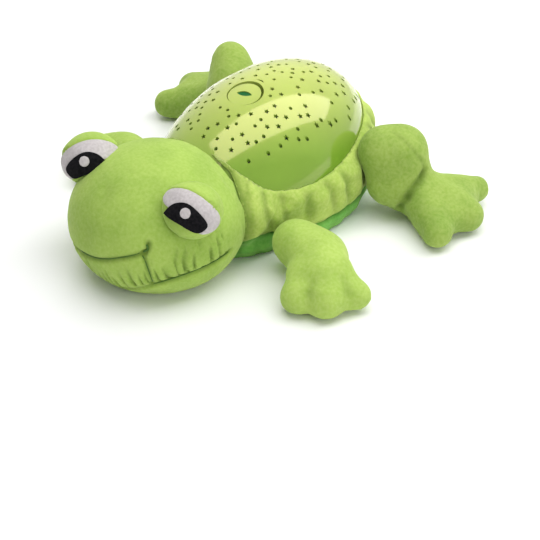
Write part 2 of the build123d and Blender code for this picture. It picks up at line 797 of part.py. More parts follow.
# ---------------------------------------------------------------- rear legs
thighs = {}
feet = {}
for side in ("left", "right"):
    ankle_place = spread(ankle, side)
    foot_way = Vector(rear_palm[1][0] - ankle[0], rear_palm[1][1] - ankle[1], 0).normalized()
    ankle_axis = Axis(ankle_place, foot_way.cross(Vector(0, 0, 1)))
    heel = (*ankle_place, ankle_radius - 0.8)
    palm = [spread(place, side) for place in rear_palm]
    toes = [spread(toe, side) for toe in rear_toes]
    foot_solids = [ball(*ankle_place, ankle_radius)]
    foot_solids += limbs((heel, palm[0]), (heel, palm[2]), (heel, palm[1]),
                         (palm[0], palm[1]), (palm[1], palm[2]))
    foot_solids += [ball(*toe) for toe in toes]
    with BuildPart() as rear_foot:
        for solid in foot_solids:
            add(solid)
        split(bisect_by=floor_plane, keep=Keep.TOP)
    feet[side] = rear_foot.part

    # The thigh leaves room for the foot over its whole lift.
    heel_room = (*ankle_place, ankle_radius - 0.4 + soft_gap)
    palm_rooms = limbs(*[(heel_room, (*place[:3], place[3] + soft_gap)) for place in palm])
    foot_rooms = [
        room.rotate(ankle_axis, share * ankle_lift)
        for room in palm_rooms
        for share in (0, 0.5, 1)
    ]
    bent = knee if side == "left" else right_knee
    with BuildPart() as rear_thigh:
        for solid in limbs(((*hip, hip_radius), bent), (bent, spread(shank_end, side))):
            add(solid)
        split(bisect_by=floor_plane, keep=Keep.TOP)
        add(ball(*ankle_place, ankle_radius + soft_gap), mode=Mode.SUBTRACT)
        for room in foot_rooms:
            add(room, mode=Mode.SUBTRACT)
    thighs[side] = rear_thigh.part
soft_pairs["rear_thigh"] = [thighs["left"], mirror(thighs["right"], about=Plane.YZ)]
soft_pairs["rear_foot"] = [feet["left"], mirror(feet["right"], about=Plane.YZ)]

for name, pieces in soft_pairs.items():
    for side, piece in zip(("left", "right"), pieces):
        with BuildPart() as soft_piece:
            add(piece)
        keep(soft_piece, f"{name}_{side}")
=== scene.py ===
import math

import bmesh
import bpy
import numpy as np
from mathutils import Matrix, Quaternion, Vector
from mathutils.bvhtree import BVHTree


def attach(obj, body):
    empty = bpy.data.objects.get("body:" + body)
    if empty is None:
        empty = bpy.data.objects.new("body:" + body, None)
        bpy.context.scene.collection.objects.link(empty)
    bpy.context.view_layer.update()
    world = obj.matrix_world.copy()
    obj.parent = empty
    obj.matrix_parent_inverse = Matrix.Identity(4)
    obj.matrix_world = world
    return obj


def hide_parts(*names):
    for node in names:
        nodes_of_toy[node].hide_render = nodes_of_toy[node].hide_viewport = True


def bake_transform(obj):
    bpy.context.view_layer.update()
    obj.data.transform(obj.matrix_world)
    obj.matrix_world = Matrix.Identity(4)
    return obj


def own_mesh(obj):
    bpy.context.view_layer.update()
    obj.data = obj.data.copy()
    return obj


# Lengths are in metres. The floor is at Z = 0, the nose points towards -Y and the left side towards +X.
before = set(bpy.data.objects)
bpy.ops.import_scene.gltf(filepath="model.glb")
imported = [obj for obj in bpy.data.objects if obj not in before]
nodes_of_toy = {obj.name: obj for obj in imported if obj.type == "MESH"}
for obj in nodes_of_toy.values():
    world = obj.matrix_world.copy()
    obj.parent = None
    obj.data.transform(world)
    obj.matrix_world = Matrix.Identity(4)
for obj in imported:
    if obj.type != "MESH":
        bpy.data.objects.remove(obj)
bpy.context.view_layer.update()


# ---------------------------------------------------------------- projector dome
# Glossy lime dome moulded in translucent plastic and pierced by stars and pinholes that throw the
# light. The press button with its smoked leaf window sits in a pocket on its crown.
def dress(piece, material):
    """Give a piece one material."""
    piece.data.materials.clear()
    piece.data.materials.append(material)


def material_with(name, roughness, **sockets):
    """A node material with the values that are the same all over set on its shader."""
    material = bpy.data.materials.new(name)
    material.use_nodes = True
    shader = material.node_tree.nodes["Principled BSDF"]
    shader.inputs["Roughness"].default_value = roughness
    for socket, value in sockets.items():
        shader.inputs[socket.replace("_", " ")].default_value = value
    return material


def noise_of(material, scale, detail):
    """The fine pattern that a material's colour or bump follows."""
    tree = material.node_tree
    place = tree.nodes.new("ShaderNodeTexCoord")
    noise = tree.nodes.new("ShaderNodeTexNoise")
    noise.inputs["Scale"].default_value = scale
    noise.inputs["Detail"].default_value = detail
    tree.links.new(place.outputs["Object"], noise.inputs["Vector"])
    return noise.outputs["Fac"]


def rising_along(material, way):
    """A pattern that grows along a direction of the piece, in metres."""
    tree = material.node_tree
    place = tree.nodes.new("ShaderNodeTexCoord")
    measure = tree.nodes.new("ShaderNodeVectorMath")
    measure.operation = "DOT_PRODUCT"
    measure.inputs[1].default_value = way
    tree.links.new(place.outputs["Object"], measure.inputs[0])
    return measure.outputs["Value"]


def colour_by(material, pattern, dark, light, low=0.35, high=0.65):
    """Colour that a pattern runs from dark to light as it goes from low to high."""
    ramp = material.node_tree.nodes.new("ShaderNodeValToRGB")
    ramp.color_ramp.elements[0].position = low
    ramp.color_ramp.elements[0].color = (*dark, 1)
    ramp.color_ramp.elements[1].position = high
    ramp.color_ramp.elements[1].color = (*light, 1)
    material.node_tree.links.new(pattern, ramp.inputs["Fac"])
    return ramp.outputs["Color"]


def blend_colour(material, first, second, share, way="MIX"):
    """Two colours mixed by a fixed share."""
    # The node's colour sockets come after its number and vector ones.
    first_socket = 6
    second_socket = 7
    result_socket = 2
    mix = material.node_tree.nodes.new("ShaderNodeMix")
    mix.data_type = "RGBA"
    mix.blend_type = way
    mix.inputs[0].default_value = share
    material.node_tree.links.new(first, mix.inputs[first_socket])
    material.node_tree.links.new(second, mix.inputs[second_socket])
    return mix.outputs[result_socket]


def paint(material, colour):
    """Connect a colour to a material's shader."""
    shader = material.node_tree.nodes["Principled BSDF"]
    material.node_tree.links.new(colour, shader.inputs["Base Color"])


def roughen(material, *layers):
    """Bumps laid over each other, each a pattern, its height and its strength."""
    tree = material.node_tree
    before = None
    for pattern, height, strength in layers:
        bump = tree.nodes.new("ShaderNodeBump")
        bump.inputs["Distance"].default_value = height
        bump.inputs["Strength"].default_value = strength
        tree.links.new(pattern, bump.inputs["Height"])
        if before is not None:
            tree.links.new(before, bump.inputs["Normal"])
        before = bump.outputs["Normal"]
    tree.links.new(before, tree.nodes["Principled BSDF"].inputs["Normal"])


cloud_scale = 30
mould_grain_scale = 2200
mould_grain_height = 0.0001


def moulded(name, colour, roughness, texture=0.1, **sockets):
    """Moulded plastic with a faint cloudiness and a fine mould texture."""
    material = material_with(name, roughness, **sockets)
    darker = tuple(0.9 * value for value in colour)
    paint(material, colour_by(material, noise_of(material, cloud_scale, 3), darker, colour))
    roughen(material, (noise_of(material, mould_grain_scale, 2), mould_grain_height, texture))
    return material


# The lime is painted paler towards the top, the right and the rear: painted light standing for the
# light that fills the translucent shell there.
painted_light_way = (-0.5, 0.3, 0.8)
painted_light_from = 0.028
painted_light_to = 0.1
dome_lime = material_with(
    "dome_lime", 0.13,
    Specular_Tint=(1, 0.72, 0.3, 1), Specular_IOR_Level=0.9,
    Coat_Weight=0.6, Coat_Roughness=0.06, Coat_IOR=1.5,
    Subsurface_Weight=0.12, Subsurface_Radius=(0.012, 0.016, 0.004),
)
lime = colour_by(
    dome_lime, rising_along(dome_lime, painted_light_way), (0.19, 0.37, 0.03), (0.58, 0.68, 0.16), painted_light_from, painted_light_to
)
cloud = colour_by(dome_lime, noise_of(dome_lime, cloud_scale, 3), (0.92, 0.92, 0.92), (1, 1, 1))
paint(dome_lime, blend_colour(dome_lime, lime, cloud, 1.0, "MULTIPLY"))
roughen(dome_lime, (noise_of(dome_lime, mould_grain_scale, 2), mould_grain_height, 0.03))
smoked_window = moulded("smoked_window", (0.01, 0.13, 0.03), 0.35, texture=0.03, Specular_IOR_Level=0.2)
dress(nodes_of_toy["star_dome"], dome_lime)
dress(nodes_of_toy["crown_button"], dome_lime)
dress(nodes_of_toy["button_window"], smoked_window)


# ---------------------------------------------------------------- inside of the projector
# White light deck with its board and three lamps, the button's post and switch, the cells with
# their contacts, and the two leads. All of it sits under the dome and shows only through its holes.
def steel(name, colour, roughness):
    """Bare metal with fine drawn marks."""
    return moulded(name, colour, roughness, texture=0.25, Metallic=1.0)


def lamp_resin(name, colour):
    """Clear tinted resin of a lamp."""
    return moulded(name, colour, roughness=0.1, texture=0.02, Transmission_Weight=0.4)


inner_looks = {
    # The white deck is coloured grey: painted shade for the dark inside of the dome.
    "light_deck": moulded("deck_grey_painted_shade", (0.42, 0.43, 0.4), roughness=0.5),
    "button_post": moulded("post_white", (0.7, 0.71, 0.68), roughness=0.5),
    "main_board": moulded("board_green", (0.03, 0.19, 0.08), roughness=0.35),
    "switch_board": moulded("switch_board_green", (0.03, 0.19, 0.08), roughness=0.35),
    "push_switch": moulded("switch_black", (0.03, 0.03, 0.035), roughness=0.4),
    "lamp_red": lamp_resin("lamp_red_resin", (0.75, 0.06, 0.04)),
    "lamp_green": lamp_resin("lamp_green_resin", (0.08, 0.6, 0.12)),
    "lamp_blue": lamp_resin("lamp_blue_resin", (0.08, 0.15, 0.75)),
    "battery_leads": moulded("lead_red", (0.45, 0.03, 0.02), roughness=0.45),
    "button_spring": steel("spring_wire", (0.6, 0.6, 0.62), roughness=0.25),
    "battery_contacts": steel("contact_nickel", (0.62, 0.6, 0.55), roughness=0.3),
    "battery_cells": moulded("cell_sleeve", (0.1, 0.1, 0.11), roughness=0.3),
}
for node, look in inner_looks.items():
    dress(nodes_of_toy[node], look)


# ---------------------------------------------------------------- button spring
# Coil of spring steel round the button's stem. It stands on the switch's board and carries the
# button.
def link(name, mesh):
    """Put a mesh into the scene as a piece."""
    piece = bpy.data.objects.new(name, mesh)
    bpy.context.scene.collection.objects.link(piece)
    return piece


def points_of(piece):
    """A piece's vertices as an array."""
    flat = np.zeros(3 * len(piece.data.vertices), np.float32)
    piece.data.vertices.foreach_get("co", flat)
    return flat.reshape(-1, 3).astype(float)


unit_tilt = math.radians(12)
button_up = np.array((0, -math.sin(unit_tilt), math.cos(unit_tilt)))
coil = link("coil_spring", nodes_of_toy["button_spring"].data.copy())
heights = points_of(coil) @ button_up
dress(coil, inner_looks["button_spring"])
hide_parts("button_spring")
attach(coil, "projector_in_plush")
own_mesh(coil)

# ---------------------------------------------------------------- base of the projector
# Darker moulded tub on four rubber feet. The battery door closes it from below and is held by a
# captive screw; four more screws hold the tub to the dome.
tub_green = moulded("tub_green", (0.16, 0.3, 0.06), roughness=0.55, texture=0.3)
foot_rubber = moulded("foot_rubber", (0.02, 0.02, 0.02), roughness=0.8, texture=0.4)
screw_zinc = steel("screw_zinc", (0.5, 0.5, 0.52), roughness=0.35)
dress(nodes_of_toy["base_tub"], tub_green)
dress(nodes_of_toy["battery_door"], tub_green)
dress(nodes_of_toy["rubber_feet"], foot_rubber)
dress(nodes_of_toy["housing_screws"], screw_zinc)
dress(nodes_of_toy["door_screw"], screw_zinc)

# ---------------------------------------------------------------- plush body and belly panel
# One sleeve of lime plush over stuffing, wrapped round the projector. It is gathered along the
# dome's edge and along the belly seam, so it puckers between them, and rises to a roll at the
# neck. The panel sewn on below the seam is a darker plush, part of that darkness painted shade
# for its place under the body.
unit_center = np.array((0, 0.0226, 0.0386))
unit_radii = np.array((0.0666, 0.101, 0.0666))
rim_rise = 0.008
nose_wall = -0.0724
body_center = (0, 0.03537, 0.02905)
body_radii = (0.0735, 0.094, 0.0735)
collar_center = (0, -0.042, 0.040)
collar_radii = (0.0635, 0.0375, 0.0375)
head_center = np.array((0, -0.0865, 0.040))
head_radii = np.array((0.0655, 0.0655, 0.053))
padding = 0.003
seam_height = 0.015
seam_climb = 0.008
seam_climb_from = 0.010
seam_climb_length = 0.050

# Edge of the plush on the dome: places along the projector, nose first, and heights over the rim.
lip_along = (
    -0.070, -0.058, -0.055, -0.0525, -0.049, -0.042, -0.033,
    -0.0215, -0.007, 0.011, 0.027, 0.044, 0.12,
)
lip_above = (
    0.090, 0.045, 0.035, 0.029, 0.0233, 0.0182, 0.0137,
    0.0092, 0.0051, 0.0026, 0.0014, 0.001, 0.0012,
)
lip_roll = 0.010
lip_lift = 0.0002
lip_tuck = -0.004
floor_gap = 0.0006


def settle(piece):
    """Write a piece's modifiers into its mesh."""
    graph = bpy.context.evaluated_depsgraph_get()
    graph.update()
    made = bpy.data.meshes.new_from_object(piece.evaluated_get(graph))
    piece.modifiers.clear()
    piece.data = made


def place_points(piece, points):
    """Move a piece's vertices."""
    piece.data.vertices.foreach_set("co", points.astype(np.float32).ravel())
    piece.data.update()


def keep_off_floor(piece, gap):
    """Flatten a piece's underside where it would come closer to the floor than the gap."""
    points = points_of(piece)
    points[:, 2] = np.maximum(points[:, 2], gap)
    place_points(piece, points)


def rise(distance, length):
    """A share that grows from 0 to 1 over a length."""
    return np.clip(distance / length, 0, 1)


def bell(distance, width):
    """A share that is 1 at no distance and fades on both sides."""
    return np.exp(-(distance / width) ** 2)


def ellipsoid(center, radii, tilt=0.0):
    """A closed ellipsoid, tipped about X by tilt."""
    shape = bmesh.new()
    turn = Matrix.Translation(center) @ Matrix.Rotation(tilt, 4, "X") @ Matrix.Diagonal((*radii, 1))
    bmesh.ops.create_uvsphere(shape, u_segments=96, v_segments=64, radius=1, matrix=turn)
    return shape


def fuse(name, shapes, voxel, smoothing):
    """One closed skin round several shapes."""
    whole = bpy.data.meshes.new(name)
    together = bmesh.new()
    for shape in shapes:
        part = bpy.data.meshes.new("part")
        shape.to_mesh(part)
        together.from_mesh(part)
        bpy.data.meshes.remove(part)
        shape.free()
    together.to_mesh(whole)
    together.free()
    piece = link(name, whole)
    skin = piece.modifiers.new("skin", "REMESH")
    skin.mode = "VOXEL"
    skin.voxel_size = voxel
    soften = piece.modifiers.new("soften", "SMOOTH")
    soften.factor = 0.5
    soften.iterations = smoothing
    settle(piece)
    return piece


def stuff(piece, pressure, growth, cap, held):
    """Fill a closed fabric skin until it is tight, no point moving further than cap."""
    steps_to_settle = 20
    least_hold = 0.02
    rest = points_of(piece)
    fabric = piece.modifiers.new("fabric", "CLOTH")
    settings = fabric.settings
    settings.quality = 5
    settings.mass = 0.2
    settings.tension_stiffness = 12
    settings.compression_stiffness = 12
    settings.shear_stiffness = 6
    settings.bending_stiffness = 0.3
    settings.use_pressure = True
    settings.uniform_pressure_force = pressure
    settings.shrink_min = -growth
    settings.effector_weights.gravity = 0
    group = piece.vertex_groups.new(name="held")
    for index in np.nonzero(held > least_hold)[0]:
        group.add([int(index)], float(held[index]), "REPLACE")
    settings.vertex_group_mass = "held"
    for step in range(1, steps_to_settle + 1):
        bpy.context.scene.frame_set(step)
    settle(piece)
    bpy.context.scene.frame_set(1)
    piece.vertex_groups.clear()
    moved = points_of(piece) - rest
    length = np.linalg.norm(moved, axis=1, keepdims=True) + 1e-9
    place_points(piece, rest + moved / length * cap * np.tanh(length / cap))


def refine(piece, levels):
    """Subdivide a piece and round it."""
    finer = piece.modifiers.new("finer", "SUBSURF")
    finer.levels = levels
    settle(piece)


def paint_fold_shade(piece, amount):
    """Remember on a piece's vertices how much painted shade they get down in a crease."""
    layer = piece.data.attributes.get("painted_shade") or piece.data.attributes.new("painted_shade", "FLOAT", "POINT")
    before = np.zeros(len(piece.data.vertices), np.float32)
    layer.data.foreach_get("value", before)
    layer.data.foreach_set("value", np.maximum(before, np.clip(amount, 0, 1)).astype(np.float32))


def cut_away(piece, cutter):
    """Take a closed shape out of a piece."""
    mesh = bpy.data.meshes.new("cutter")
    cutter.to_mesh(mesh)
    cutter.free()
    tool = link("cutter", mesh)
    cut = piece.modifiers.new("cut", "BOOLEAN")
    cut.operation = "DIFFERENCE"
    cut.solver = "EXACT"
    cut.object = tool
    settle(piece)
    bpy.data.objects.remove(tool)


def shade_smooth(piece):
    """Let a piece's faces shade as one skin."""
    piece.data.polygons.foreach_set("use_smooth", [True] * len(piece.data.polygons))


def plush(name, shade, light, pale):
    """Short-pile plush, mottled where the pile lies this way and that, with painted shade darkening it down
    in its creases.
    """
    patch_scale = 38
    tuft_scale = 420
    nap_scale = 160
    pile_scale = 1500
    tuft_share = 0.4
    painted_shade_tint = (0.3, 0.36, 0.22)
    material = material_with(
        name, 0.85,
        Sheen_Weight=0.25, Sheen_Roughness=0.45, Sheen_Tint=(0.95, 1.0, 0.55, 1), Specular_IOR_Level=0.2,
    )
    patches = colour_by(material, noise_of(material, patch_scale, 3), shade, light, 0.38, 0.6)
    tufts = colour_by(material, noise_of(material, tuft_scale, 5), shade, pale, 0.3, 0.75)
    mottled = blend_colour(material, patches, tufts, tuft_share)
    folds = material.node_tree.nodes.new("ShaderNodeAttribute")
    folds.attribute_name = "painted_shade"
    # The creases' attribute darkens the colour there as painted shade.
    painted_fold_shade = colour_by(material, folds.outputs["Fac"], (1, 1, 1), painted_shade_tint, 0.0, 1.0)
    paint(material, blend_colour(material, mottled, painted_fold_shade, 1.0, "MULTIPLY"))
    roughen(
        material,
        (noise_of(material, nap_scale, 3), 0.0008, 0.25),
        (noise_of(material, pile_scale, 4), 0.0004, 0.5),
    )
    return material


def unit_places(points):
    """Points in the projector's own frame: across, along its long axis, and up from it."""
    away = points - unit_center
    along = away[:, 1] * math.cos(unit_tilt) + away[:, 2] * math.sin(unit_tilt)
    up = away[:, 2] * math.cos(unit_tilt) - away[:, 1] * math.sin(unit_tilt)
    return np.column_stack([away[:, 0], along, up])


def unit_reach(local):
    """How far points of the projector's frame lie from its skin, and the directions outwards."""
    scaled = np.linalg.norm(local / unit_radii, axis=1)
    length = np.linalg.norm(local, axis=1)
    return length * (1 - 1 / scaled), local / length[:, None]


def from_unit(local):
    """Points of the projector's frame back in the toy's."""
    along, up = local[:, 1], local[:, 2]
    y = along * math.cos(unit_tilt) - up * math.sin(unit_tilt)
    z = along * math.sin(unit_tilt) + up * math.cos(unit_tilt)
    return unit_center + np.column_stack([local[:, 0], y, z])


def under_lip(local):
    """How far points of the projector's frame lie below the plush's edge on the dome."""
    return np.interp(local[:, 1], lip_along, lip_above) - (local[:, 2] - rim_rise)


def head_sizes(points):
    """How far points lie from the head's middle, where 1 is on its skin."""
    return np.linalg.norm((points - head_center) / head_radii, axis=1)


def seam_at(y):
    """Height of the belly seam, which climbs towards the neck."""
    share = np.clip((seam_climb_from - y) / seam_climb_length, 0, 1)
    return seam_height + seam_climb * share ** 2 * (3 - 2 * share)


# The sleeve is sewn down at the dome's edge, the seam and the head, and swells between them.
lip_hold = 0.006
seam_hold = 0.003
floor_hold = 0.006
head_hold = 1.02
sleeve = fuse("plush_sleeve", [
    ellipsoid(body_center, body_radii, unit_tilt),
    ellipsoid(unit_center, unit_radii + padding, unit_tilt),
    ellipsoid(collar_center, collar_radii),
], voxel=0.004, smoothing=6)
points = points_of(sleeve)
held = np.clip(1 - under_lip(unit_places(points)) / lip_hold, 0, 1)
held = np.maximum(held, np.clip(1.6 - np.abs(points[:, 2] - seam_at(points[:, 1])) / seam_hold, 0, 1))
held = np.maximum(held, (points[:, 2] < floor_hold) | (head_sizes(points) < head_hold))
stuff(sleeve, pressure=3.0, growth=0.07, cap=0.0045, held=held)
refine(sleeve, 1)

# Gathers fan down from the dome's edge, unevenly spaced and deeper in some places than in others.
gathers_per_radian = 28
gather_depth = 0.0026
gather_swell = 0.45
gather_start = 0.006
gather_end = 0.012
gather_shade = 0.5
neck_shade = 0.9
neck_shade_reach = 0.07
points = points_of(sleeve)
local = unit_places(points)
reach, outward = unit_reach(local)
below_lip = under_lip(local)
around = np.arctan2(local[:, 0] * 1.3, local[:, 1])
slow_drift = 2.4 * np.sin(around * 3)
quick_drift = 1.3 * np.sin(around * 8 + 1)
gather = np.sin(around * gathers_per_radian + slow_drift + quick_drift)
over_seam = points[:, 2] - seam_at(points[:, 1])
fade = rise(below_lip, gather_start) * np.clip(over_seam / gather_end, 0.3, 1)
depth = gather_depth * (0.7 + 0.3 * np.sin(around * 5 + 2))
gathered = reach + np.where(gather > 0, gather * gather_swell, gather) * fade * depth
# The gathers' grooves, and the plush against the head at the neck, get painted shade.
gather_painted_shade = gather_shade * np.clip(-gather, 0, 1) ** 1.5 * fade
paint_fold_shade(sleeve, np.maximum(gather_painted_shade, neck_shade * bell(head_sizes(points) - 1, neck_shade_reach)))

# The upper edge rolls over and tucks in against the dome.
curl = rise(below_lip, lip_roll)
gathered = gathered * np.sqrt(1 - (1 - curl) ** 2) + lip_lift
gathered = np.where(below_lip < 0, np.maximum(lip_tuck, 0.6 * below_lip), gathered)
near_skin = reach > -0.02
points = from_unit(local + outward * ((gathered - reach) * near_skin)[:, None])

# The belly seam draws the plush in all round, with painted shade darkening it along the seam.
seam_width = 0.0016
seam_depth = 0.0018
seam_shade = 0.7
body_axis = (0, 0.02, 0)
seam_pull = bell(points[:, 2] - seam_at(points[:, 1]), seam_width)
paint_fold_shade(sleeve, seam_shade * seam_pull)
sideways = points * (1, 1, 0) - body_axis
sideways /= np.linalg.norm(sideways, axis=1)[:, None] + 1e-9
place_points(sleeve, points - sideways * (seam_depth * seam_pull)[:, None])
keep_off_floor(sleeve, floor_gap)

# Room for the projector, with its flat nose wall, and for the head.
room_margin = 0.0004
head_margin = 0.0003
room = ellipsoid(unit_center, unit_radii + room_margin, unit_tilt)
for vertex in room.verts:
    spot = unit_places(np.array([vertex.co]))
    spot[0, 1] = max(spot[0, 1], nose_wall)
    vertex.co = Vector(from_unit(spot)[0])
cut_away(sleeve, room)
cut_away(sleeve, ellipsoid(head_center, head_radii + head_margin))


def part_at_seam(piece, side):
    """Drop what lies below the belly seam (side -1) or above it (side 1) and close the section."""
    half_gap = 0.0001
    points = points_of(piece)
    points[:, 2] -= seam_at(points[:, 1])
    place_points(piece, points)
    shape = bmesh.new()
    shape.from_mesh(piece.data)
    whole = shape.verts[:] + shape.edges[:] + shape.faces[:]
    section = bmesh.ops.bisect_plane(shape, geom=whole, dist=1e-7, plane_co=(0, 0, -side * half_gap),
                                     plane_no=(0, 0, side), clear_outer=True)["geom_cut"]
    edges = [item for item in section if isinstance(item, bmesh.types.BMEdge)]
    bmesh.ops.triangle_fill(shape, edges=edges, use_beauty=True, normal=(0, 0, side))
    shape.to_mesh(piece.data)
    shape.free()
    points = points_of(piece)
    points[:, 2] += seam_at(points[:, 1])
    place_points(piece, points)


belly = link("belly_plush", sleeve.data.copy())
part_at_seam(sleeve, -1)
part_at_seam(belly, 1)
dress(sleeve, plush("plush_side", (0.34, 0.5, 0.08), (0.5, 0.65, 0.13), (0.68, 0.74, 0.26)))
# The belly's green is darker partly as painted shade for its place under the body.
dress(belly, plush("plush_belly_painted_shade", (0.14, 0.42, 0.07), (0.21, 0.54, 0.09), (0.3, 0.58, 0.14)))
for piece, node, slot in (
    (sleeve, "plush_body", "plush_green"),
    (belly, "belly_panel", "belly_fabric"),
):
    shade_smooth(piece)
    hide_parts(node)
    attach(piece, "projector_in_plush")


# ---------------------------------------------------------------- plush head
# Full, slightly flattened ball of plush over stuffing, sewn flat to the body. A curved mouth seam
# with an upturned corner and a dart crosses the face, and the cheek gathers in short upright folds
# above the chin seam.
def normals_of(piece):
    """A piece's vertex normals as an array."""
    flat = np.zeros(3 * len(piece.data.vertices), np.float32)
    piece.data.vertices.foreach_get("normal", flat)
    return flat.reshape(-1, 3).astype(float)


def copy_of(node):
    """A bmesh copy of a CAD node."""
    copied = bmesh.new()
    copied.from_mesh(nodes_of_toy[node].data)
    bmesh.ops.remove_doubles(copied, verts=copied.verts, dist=1e-6)
    return copied


def smooth_line(corners, count):
    """Points of a Catmull-Rom line through corners."""
    corners = np.array(corners, float)
    padded = np.vstack([2 * corners[0] - corners[1], corners, 2 * corners[-1] - corners[-2]])
    made = []
    for place in np.linspace(0, len(corners) - 1, count):
        index = min(int(place), len(corners) - 2)
        share = place - index
        a, b, c, d = padded[index:index + 4]
        made.append(0.5 * (2 * b + (c - a) * share + (2 * a - 5 * b + 4 * c - d) * share ** 2
                           + (3 * b - a - 3 * c + d) * share ** 3))
    return np.array(made)


def distance_to(points, line):
    """Distance of points from a line of straight runs."""
    best = np.full(len(points), 1e9)
    for start, end in zip(line[:-1], line[1:]):
        run = end - start
        share = np.clip((points - start) @ run / (run @ run), 0, 1)
        best = np.minimum(best, np.linalg.norm(points - start - share[:, None] * run, axis=1))
    return best


def press_line(piece, line, depth, width, shade=0.7):
    """Draw a piece's skin in along a line, with painted shade down in the crease."""
    points = points_of(piece)
    pull = bell(distance_to(points, line), width)
    place_points(piece, points - normals_of(piece) * (depth * pull)[:, None])
    paint_fold_shade(piece, shade * pull)


head = fuse("head_plush", [copy_of("plush_head")], voxel=0.004, smoothing=8)
contact = 0.004
points = points_of(head)
against_body = unit_reach(unit_places(points))[0] < contact
on_floor = points[:, 2] < contact
stuff(head, pressure=3.0, growth=0.015, cap=0.0025, held=np.maximum(against_body, on_floor).astype(float))
refine(head, 2)

mouth_corner = (0.0377, -0.1387, 0.0496)
mouth = smooth_line([
    (-0.052, -0.1238, 0.0285), (-0.041, -0.1355, 0.0285), (-0.0271, -0.1448, 0.030),
    (-0.0142, -0.1497, 0.0322), (-0.0015, -0.1517, 0.0348), (0.0087, -0.1514, 0.0376),
    (0.0197, -0.1489, 0.0423), (0.0301, -0.1441, 0.0464), mouth_corner,
], 60)
hook = smooth_line([mouth_corner, (0.0395, -0.1364, 0.0526), (0.0391, -0.1348, 0.0567)], 14)
dart = smooth_line([
    (0.0378, -0.1388, 0.0489), (0.0399, -0.1384, 0.042), (0.0411, -0.137, 0.0341),
    (0.0409, -0.1335, 0.0236),
], 30)
chin = smooth_line([
    (-0.045, -0.130, 0.022), (-0.030, -0.1395, 0.016), (-0.0114, -0.1463, 0.0116),
    (0.0027, -0.1402, 0.0090), (0.0146, -0.1380, 0.0100), (0.040, -0.1327, 0.021),
    (0.0544, -0.1198, 0.028), (0.0628, -0.101, 0.0308), (0.0648, -0.0876, 0.0326),
    (0.0647, -0.079, 0.0342),
], 90)
# The seams are drawn in, with painted shade down in them.
press_line(head, chin, depth=0.0026, width=0.0020)
press_line(head, mouth, depth=0.0022, width=0.0020)
press_line(head, hook, depth=0.0026, width=0.0022)
press_line(head, dart, depth=0.0016, width=0.0018)


def wave(way, length):
    """A sine along a way."""
    return np.sin(way / length * math.tau)


# Upright folds over the chin seam, each with its own width and height. They grow taller on the
# cheek, keep clear of the seam itself and end with it at the neck.
fold_spacing = 0.0066
fold_depth = 0.0026
fold_height = 0.019
fold_slant = 0.8
fold_shade = 0.9
cheek_from = 0.050
fold_ease = 0.006
seam_clearance = 0.0015
furthest_fold = 0.036
points = points_of(head)
steps = np.concatenate([[0], np.cumsum(np.linalg.norm(np.diff(chin, axis=0), axis=1))])
apart = np.linalg.norm(points[:, None] - chin[None, ::2], axis=2)
nearest = 2 * np.argmin(apart, axis=1)
way = steps[nearest] + (points[:, 0] - chin[nearest, 0]) * fold_slant
above = points[:, 2] - chin[nearest, 2]
phase = way / fold_spacing * math.tau + 1.2 * wave(way, 0.031) + 0.5 * wave(way, 0.013)
tall = fold_height + 0.005 * wave(way, 0.019) + 0.010 * rise(points[:, 0] - cheek_from, 0.008)
fade = np.clip(1 - above / tall, 0, 1) * rise(above, seam_clearance)
fade *= rise(furthest_fold - apart.min(axis=1), fold_ease)
fade *= rise(steps[-1] - steps[nearest], fold_ease)
crease = np.clip(-np.cos(phase), -0.35, 1) ** 3
place_points(head, points - normals_of(head) * (fold_depth * crease * fade)[:, None])
# Painted shade darkens each fold's crease.
paint_fold_shade(head, fold_shade * np.clip(crease, 0, 1) * fade)

# Two shallow dimples in the plush, on the brow and over the lip, with a little painted shade in them.
dimple_half_height = 0.003
for x, y, z in ((-0.0026, -0.1327, 0.0775), (-0.0067, -0.1503, 0.0506)):
    line = np.array(((x, y, z - dimple_half_height), (x, y, z + dimple_half_height)))
    press_line(head, line, depth=0.0008, width=0.006, shade=0.12)
keep_off_floor(head, floor_gap)
shade_smooth(head)
dress(head, plush("plush_head_pile", (0.29, 0.46, 0.07), (0.38, 0.56, 0.1), (0.5, 0.62, 0.18)))
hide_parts("plush_head")
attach(head, "projector_in_plush")


# ---------------------------------------------------------------- stitching of the face
# Dark green sewing thread that lies in the head's seams: the mouth and its upturned corner, the
# dart and the chin. Each run follows the drawn-in plush.
def lay_on(piece, line, lift):
    """A line's points moved onto a piece's skin."""
    tree = BVHTree.FromPolygons(
        [v.co for v in piece.data.vertices], [tuple(p.vertices) for p in piece.data.polygons]
    )
    laid = []
    for point in line:
        spot, normal = tree.find_nearest(Vector(point))[:2]
        laid.append(np.array(spot + normal * lift))
    return np.array(laid)


def thread(name, line, radius):
    """A sewing thread along a line."""
    curve = bpy.data.curves.new(name, "CURVE")
    curve.dimensions = "3D"
    curve.bevel_depth = radius
    curve.bevel_resolution = 3
    spline = curve.splines.new("NURBS")
    spline.points.add(len(line) - 1)
    for spot, point in zip(spline.points, line):
        spot.co = (*point, 1)
    spline.order_u = 3
    spline.use_endpoint_u = True
    piece = bpy.data.objects.new(name, curve)
    bpy.context.scene.collection.objects.link(piece)
    return piece


